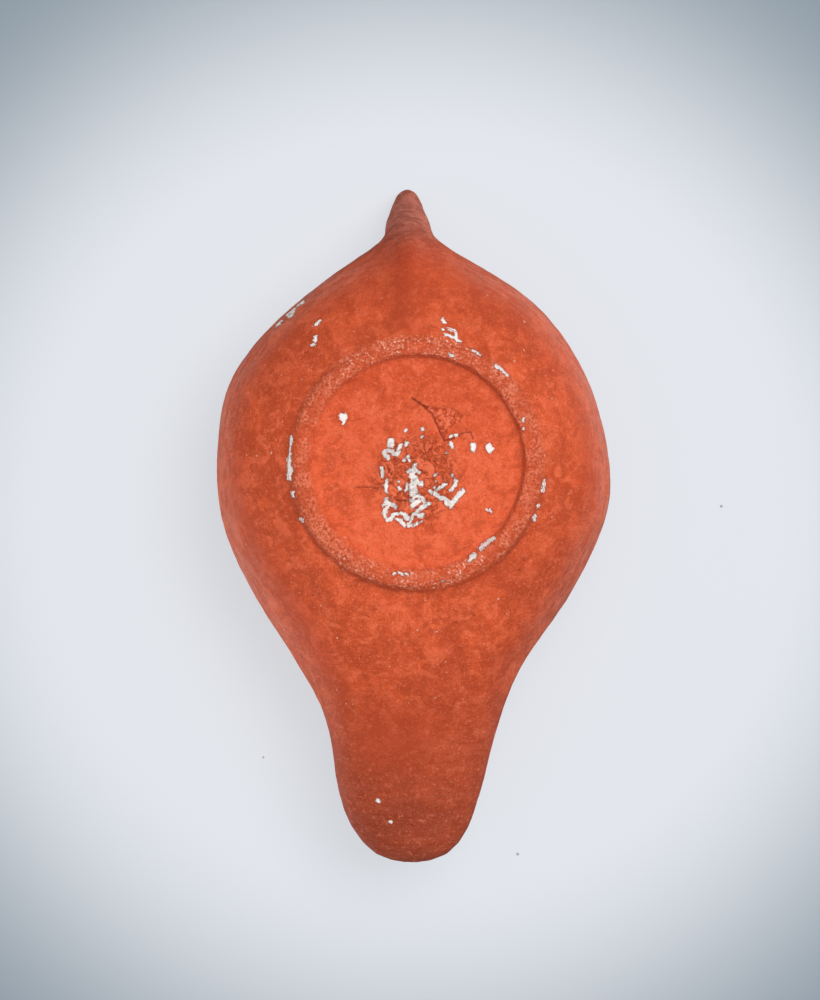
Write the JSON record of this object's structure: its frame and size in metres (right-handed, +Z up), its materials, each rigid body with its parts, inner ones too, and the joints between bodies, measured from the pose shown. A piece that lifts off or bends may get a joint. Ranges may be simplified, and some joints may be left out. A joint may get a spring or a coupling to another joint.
{
  "type": "oil lamp",
  "caption": "Closed pear-shaped terracotta oil lamp with ring foot, lug handle, filling hole and a nozzle that holds a cotton wick.",
  "frame": {"origin": "middle of the lamp's length and width, on the plane that the foot rests on", "axes": "+Z up from the foot to the handle's top, nozzle along -Y, handle along +Y, X across the body"},
  "size_m": [0.0818, 0.1424, 0.05],
  "materials": {
    "terracotta": "unglazed, matt, weathered",
    "slip": "unglazed, matt",
    "cotton": "twisted yarn"
  },
  "bodies": {
    "lamp": {"lower_half": "terracotta", "upper_half": "terracotta", "foot_ring": "terracotta", "lug_handle": "terracotta", "luting_slip": "slip"},
    "wick": {"wick": "cotton"}
  },
  "joints": [
    {"name": "wick_feed", "type": "slide", "parent": "lamp", "child": "wick", "axis": [0, -0.5, 0.866], "range_m": [0, 0.006]}
  ]
}
